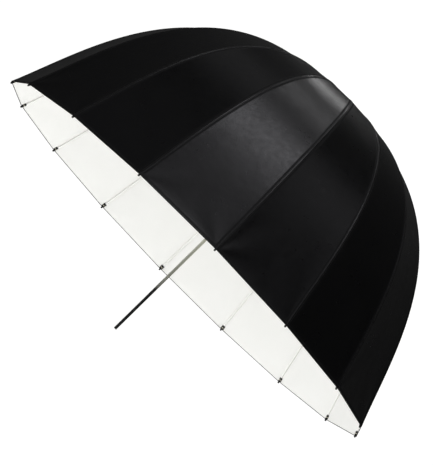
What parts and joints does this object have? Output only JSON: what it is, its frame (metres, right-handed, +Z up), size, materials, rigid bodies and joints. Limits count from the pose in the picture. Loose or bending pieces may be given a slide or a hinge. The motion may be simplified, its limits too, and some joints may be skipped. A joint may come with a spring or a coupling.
{
  "type": "umbrella reflector",
  "caption": "Deep round umbrella reflector for studio light: black outside, white inside, curved ribs held by stretchers on a sliding runner, straight thin shaft.",
  "frame": {"origin": "centre of the flat end of the shaft's free end, where a light stand's clamp takes the shaft", "axes": "+Y along the shaft from its free end to the crown, so the dish opens towards -Y; +Z up, square to the shaft; +X to the right, with a rib in the direction of +X and one in the direction of +Z"},
  "size_m": [1.25, 0.8234, 1.25],
  "materials": {
    "black_cloth": "satin",
    "white_lining": "matte",
    "shaft_steel": "satin",
    "stretcher_steel": "satin",
    "bright_wire": "polished",
    "black_plastic": "satin",
    "rib_fibreglass": "satin"
  },
  "bodies": {
    "shaft": {"shaft_tube": "shaft_steel", "shaft_end_cap": "black_plastic", "crown_notch": "black_plastic", "crown_wire": "bright_wire", "crown_pin": "bright_wire", "crown_patch": "black_cloth", "crown_cap": "black_plastic", "stop_pin": "bright_wire"},
    "runner": {"runner_body": "black_plastic", "runner_wire": "bright_wire", "runner_sleeve": "black_plastic"},
    "catch": {"catch_spring": "bright_wire"},
    "rib_arm_01": {"rib_01": "rib_fibreglass", "canopy_strip_01": "black_cloth"},
    "stretcher_arm_01": {"stretcher_01": "stretcher_steel"},
    "rib_arm_02": {"rib_02": "rib_fibreglass", "canopy_strip_02": "black_cloth"},
    "stretcher_arm_02": {"stretcher_02": "stretcher_steel"},
    "rib_arm_03": {"rib_03": "rib_fibreglass", "canopy_strip_03": "black_cloth"},
    "stretcher_arm_03": {"stretcher_03": "stretcher_steel"},
    "rib_arm_04": {"rib_04": "rib_fibreglass", "canopy_strip_04": "black_cloth"},
    "stretcher_arm_04": {"stretcher_04": "stretcher_steel"},
    "rib_arm_05": {"rib_05": "rib_fibreglass", "canopy_strip_05": "black_cloth"},
    "stretcher_arm_05": {"stretcher_05": "stretcher_steel"},
    "rib_arm_06": {"rib_06": "rib_fibreglass", "canopy_strip_06": "black_cloth"},
    "stretcher_arm_06": {"stretcher_06": "stretcher_steel"},
    "rib_arm_07": {"rib_07": "rib_fibreglass", "canopy_strip_07": "black_cloth"},
    "stretcher_arm_07": {"stretcher_07": "stretcher_steel"},
    "rib_arm_08": {"rib_08": "rib_fibreglass", "canopy_strip_08": "black_cloth"},
    "stretcher_arm_08": {"stretcher_08": "stretcher_steel"},
    "rib_arm_09": {"rib_09": "rib_fibreglass", "canopy_strip_09": "black_cloth"},
    "stretcher_arm_09": {"stretcher_09": "stretcher_steel"},
    "rib_arm_10": {"rib_10": "rib_fibreglass", "canopy_strip_10": "black_cloth"},
    "stretcher_arm_10": {"stretcher_10": "stretcher_steel"},
    "rib_arm_11": {"rib_11": "rib_fibreglass", "canopy_strip_11": "black_cloth"},
    "stretcher_arm_11": {"stretcher_11": "stretcher_steel"},
    "rib_arm_12": {"rib_12": "rib_fibreglass", "canopy_strip_12": "black_cloth"},
    "stretcher_arm_12": {"stretcher_12": "stretcher_steel"},
    "rib_arm_13": {"rib_13": "rib_fibreglass", "canopy_strip_13": "black_cloth"},
    "stretcher_arm_13": {"stretcher_13": "stretcher_steel"},
    "rib_arm_14": {"rib_14": "rib_fibreglass", "canopy_strip_14": "black_cloth"},
    "stretcher_arm_14": {"stretcher_14": "stretcher_steel"},
    "rib_arm_15": {"rib_15": "rib_fibreglass", "canopy_strip_15": "black_cloth"},
    "stretcher_arm_15": {"stretcher_15": "stretcher_steel"},
    "rib_arm_16": {"rib_16": "rib_fibreglass", "canopy_strip_16": "black_cloth"},
    "stretcher_arm_16": {"stretcher_16": "stretcher_steel"}
  },
  "joints": [
    {"name": "runner_slide", "type": "slide", "parent": "shaft", "child": "runner", "axis": [0, -1, 0], "range_m": [0, 0.252], "deforming": ["catch_spring"]},
    {"name": "catch_press", "type": "slide", "parent": "shaft", "child": "catch", "axis": [-0.9808, 0, -0.1951], "range_m": [0, 0.0024], "stiffness_N_per_m": 400},
    {"name": "rib_fold_01", "type": "hinge", "parent": "shaft", "child": "rib_arm_01", "pos_m": [0.018, 0.814, 0], "axis": [0, 0, -1], "range_deg": [0, 42.78], "deforming": ["canopy_strip_01"]},
    {"name": "stretcher_swing_01", "type": "hinge", "parent": "runner", "child": "stretcher_arm_01", "pos_m": [0.018, 0.67, 0], "axis": [0, 0, 1], "range_deg": [0, 34.09]},
    {"name": "rib_fold_02", "type": "hinge", "parent": "shaft", "child": "rib_arm_02", "pos_m": [0.01663, 0.814, 0.00689], "axis": [0.3827, 0, -0.9239], "range_deg": [0, 42.78], "deforming": ["canopy_strip_02"]},
    {"name": "stretcher_swing_02", "type": "hinge", "parent": "runner", "child": "stretcher_arm_02", "pos_m": [0.01663, 0.67, 0.00689], "axis": [-0.3827, 0, 0.9239], "range_deg": [0, 34.09]},
    {"name": "rib_fold_03", "type": "hinge", "parent": "shaft", "child": "rib_arm_03", "pos_m": [0.01273, 0.814, 0.01273], "axis": [0.7071, 0, -0.7071], "range_deg": [0, 42.78], "deforming": ["canopy_strip_03"]},
    {"name": "stretcher_swing_03", "type": "hinge", "parent": "runner", "child": "stretcher_arm_03", "pos_m": [0.01273, 0.67, 0.01273], "axis": [-0.7071, 0, 0.7071], "range_deg": [0, 34.09]},
    {"name": "rib_fold_04", "type": "hinge", "parent": "shaft", "child": "rib_arm_04", "pos_m": [0.00689, 0.814, 0.01663], "axis": [0.9239, 0, -0.3827], "range_deg": [0, 42.78], "deforming": ["canopy_strip_04"]},
    {"name": "stretcher_swing_04", "type": "hinge", "parent": "runner", "child": "stretcher_arm_04", "pos_m": [0.00689, 0.67, 0.01663], "axis": [-0.9239, 0, 0.3827], "range_deg": [0, 34.09]},
    {"name": "rib_fold_05", "type": "hinge", "parent": "shaft", "child": "rib_arm_05", "pos_m": [0, 0.814, 0.018], "axis": [1, 0, 0], "range_deg": [0, 42.78], "deforming": ["canopy_strip_05"]},
    {"name": "stretcher_swing_05", "type": "hinge", "parent": "runner", "child": "stretcher_arm_05", "pos_m": [0, 0.67, 0.018], "axis": [-1, 0, 0], "range_deg": [0, 34.09]},
    {"name": "rib_fold_06", "type": "hinge", "parent": "shaft", "child": "rib_arm_06", "pos_m": [-0.00689, 0.814, 0.01663], "axis": [0.9239, 0, 0.3827], "range_deg": [0, 42.78], "deforming": ["canopy_strip_06"]},
    {"name": "stretcher_swing_06", "type": "hinge", "parent": "runner", "child": "stretcher_arm_06", "pos_m": [-0.00689, 0.67, 0.01663], "axis": [-0.9239, 0, -0.3827], "range_deg": [0, 34.09]},
    {"name": "rib_fold_07", "type": "hinge", "parent": "shaft", "child": "rib_arm_07", "pos_m": [-0.01273, 0.814, 0.01273], "axis": [0.7071, 0, 0.7071], "range_deg": [0, 42.78], "deforming": ["canopy_strip_07"]},
    {"name": "stretcher_swing_07", "type": "hinge", "parent": "runner", "child": "stretcher_arm_07", "pos_m": [-0.01273, 0.67, 0.01273], "axis": [-0.7071, 0, -0.7071], "range_deg": [0, 34.09]},
    {"name": "rib_fold_08", "type": "hinge", "parent": "shaft", "child": "rib_arm_08", "pos_m": [-0.01663, 0.814, 0.00689], "axis": [0.3827, 0, 0.9239], "range_deg": [0, 42.78], "deforming": ["canopy_strip_08"]},
    {"name": "stretcher_swing_08", "type": "hinge", "parent": "runner", "child": "stretcher_arm_08", "pos_m": [-0.01663, 0.67, 0.00689], "axis": [-0.3827, 0, -0.9239], "range_deg": [0, 34.09]},
    {"name": "rib_fold_09", "type": "hinge", "parent": "shaft", "child": "rib_arm_09", "pos_m": [-0.018, 0.814, 0], "axis": [0, 0, 1], "range_deg": [0, 42.78], "deforming": ["canopy_strip_09"]},
    {"name": "stretcher_swing_09", "type": "hinge", "parent": "runner", "child": "stretcher_arm_09", "pos_m": [-0.018, 0.67, 0], "axis": [0, 0, -1], "range_deg": [0, 34.09]},
    {"name": "rib_fold_10", "type": "hinge", "parent": "shaft", "child": "rib_arm_10", "pos_m": [-0.01663, 0.814, -0.00689], "axis": [-0.3827, 0, 0.9239], "range_deg": [0, 42.78], "deforming": ["canopy_strip_10"]},
    {"name": "stretcher_swing_10", "type": "hinge", "parent": "runner", "child": "stretcher_arm_10", "pos_m": [-0.01663, 0.67, -0.00689], "axis": [0.3827, 0, -0.9239], "range_deg": [0, 34.09]},
    {"name": "rib_fold_11", "type": "hinge", "parent": "shaft", "child": "rib_arm_11", "pos_m": [-0.01273, 0.814, -0.01273], "axis": [-0.7071, 0, 0.7071], "range_deg": [0, 42.78], "deforming": ["canopy_strip_11"]},
    {"name": "stretcher_swing_11", "type": "hinge", "parent": "runner", "child": "stretcher_arm_11", "pos_m": [-0.01273, 0.67, -0.01273], "axis": [0.7071, 0, -0.7071], "range_deg": [0, 34.09]},
    {"name": "rib_fold_12", "type": "hinge", "parent": "shaft", "child": "rib_arm_12", "pos_m": [-0.00689, 0.814, -0.01663], "axis": [-0.9239, 0, 0.3827], "range_deg": [0, 42.78], "deforming": ["canopy_strip_12"]},
    {"name": "stretcher_swing_12", "type": "hinge", "parent": "runner", "child": "stretcher_arm_12", "pos_m": [-0.00689, 0.67, -0.01663], "axis": [0.9239, 0, -0.3827], "range_deg": [0, 34.09]},
    {"name": "rib_fold_13", "type": "hinge", "parent": "shaft", "child": "rib_arm_13", "pos_m": [0, 0.814, -0.018], "axis": [-1, 0, 0], "range_deg": [0, 42.78], "deforming": ["canopy_strip_13"]},
    {"name": "stretcher_swing_13", "type": "hinge", "parent": "runner", "child": "stretcher_arm_13", "pos_m": [0, 0.67, -0.018], "axis": [1, 0, 0], "range_deg": [0, 34.09]},
    {"name": "rib_fold_14", "type": "hinge", "parent": "shaft", "child": "rib_arm_14", "pos_m": [0.00689, 0.814, -0.01663], "axis": [-0.9239, 0, -0.3827], "range_deg": [0, 42.78], "deforming": ["canopy_strip_14"]},
    {"name": "stretcher_swing_14", "type": "hinge", "parent": "runner", "child": "stretcher_arm_14", "pos_m": [0.00689, 0.67, -0.01663], "axis": [0.9239, 0, 0.3827], "range_deg": [0, 34.09]},
    {"name": "rib_fold_15", "type": "hinge", "parent": "shaft", "child": "rib_arm_15", "pos_m": [0.01273, 0.814, -0.01273], "axis": [-0.7071, 0, -0.7071], "range_deg": [0, 42.78], "deforming": ["canopy_strip_15"]},
    {"name": "stretcher_swing_15", "type": "hinge", "parent": "runner", "child": "stretcher_arm_15", "pos_m": [0.01273, 0.67, -0.01273], "axis": [0.7071, 0, 0.7071], "range_deg": [0, 34.09]},
    {"name": "rib_fold_16", "type": "hinge", "parent": "shaft", "child": "rib_arm_16", "pos_m": [0.01663, 0.814, -0.00689], "axis": [-0.3827, 0, -0.9239], "range_deg": [0, 42.78], "deforming": ["canopy_strip_16"]},
    {"name": "stretcher_swing_16", "type": "hinge", "parent": "runner", "child": "stretcher_arm_16", "pos_m": [0.01663, 0.67, -0.00689], "axis": [0.3827, 0, 0.9239], "range_deg": [0, 34.09]}
  ],
  "couplings": [
    {"joint": "rib_fold_01", "follows": "runner_slide", "rad_per_m": 2.9596},
    {"joint": "stretcher_swing_01", "follows": "runner_slide", "rad_per_m": 2.3576},
    {"joint": "rib_fold_02", "follows": "runner_slide", "rad_per_m": 2.9596},
    {"joint": "stretcher_swing_02", "follows": "runner_slide", "rad_per_m": 2.3576},
    {"joint": "rib_fold_03", "follows": "runner_slide", "rad_per_m": 2.9596},
    {"joint": "stretcher_swing_03", "follows": "runner_slide", "rad_per_m": 2.3576},
    {"joint": "rib_fold_04", "follows": "runner_slide", "rad_per_m": 2.9596},
    {"joint": "stretcher_swing_04", "follows": "runner_slide", "rad_per_m": 2.3576},
    {"joint": "rib_fold_05", "follows": "runner_slide", "rad_per_m": 2.9596},
    {"joint": "stretcher_swing_05", "follows": "runner_slide", "rad_per_m": 2.3576},
    {"joint": "rib_fold_06", "follows": "runner_slide", "rad_per_m": 2.9596},
    {"joint": "stretcher_swing_06", "follows": "runner_slide", "rad_per_m": 2.3576},
    {"joint": "rib_fold_07", "follows": "runner_slide", "rad_per_m": 2.9596},
    {"joint": "stretcher_swing_07", "follows": "runner_slide", "rad_per_m": 2.3576},
    {"joint": "rib_fold_08", "follows": "runner_slide", "rad_per_m": 2.9596},
    {"joint": "stretcher_swing_08", "follows": "runner_slide", "rad_per_m": 2.3576},
    {"joint": "rib_fold_09", "follows": "runner_slide", "rad_per_m": 2.9596},
    {"joint": "stretcher_swing_09", "follows": "runner_slide", "rad_per_m": 2.3576},
    {"joint": "rib_fold_10", "follows": "runner_slide", "rad_per_m": 2.9596},
    {"joint": "stretcher_swing_10", "follows": "runner_slide", "rad_per_m": 2.3576},
    {"joint": "rib_fold_11", "follows": "runner_slide", "rad_per_m": 2.9596},
    {"joint": "stretcher_swing_11", "follows": "runner_slide", "rad_per_m": 2.3576},
    {"joint": "rib_fold_12", "follows": "runner_slide", "rad_per_m": 2.9596},
    {"joint": "stretcher_swing_12", "follows": "runner_slide", "rad_per_m": 2.3576},
    {"joint": "rib_fold_13", "follows": "runner_slide", "rad_per_m": 2.9596},
    {"joint": "stretcher_swing_13", "follows": "runner_slide", "rad_per_m": 2.3576},
    {"joint": "rib_fold_14", "follows": "runner_slide", "rad_per_m": 2.9596},
    {"joint": "stretcher_swing_14", "follows": "runner_slide", "rad_per_m": 2.3576},
    {"joint": "rib_fold_15", "follows": "runner_slide", "rad_per_m": 2.9596},
    {"joint": "stretcher_swing_15", "follows": "runner_slide", "rad_per_m": 2.3576},
    {"joint": "rib_fold_16", "follows": "runner_slide", "rad_per_m": 2.9596},
    {"joint": "stretcher_swing_16", "follows": "runner_slide", "rad_per_m": 2.3576}
  ]
}
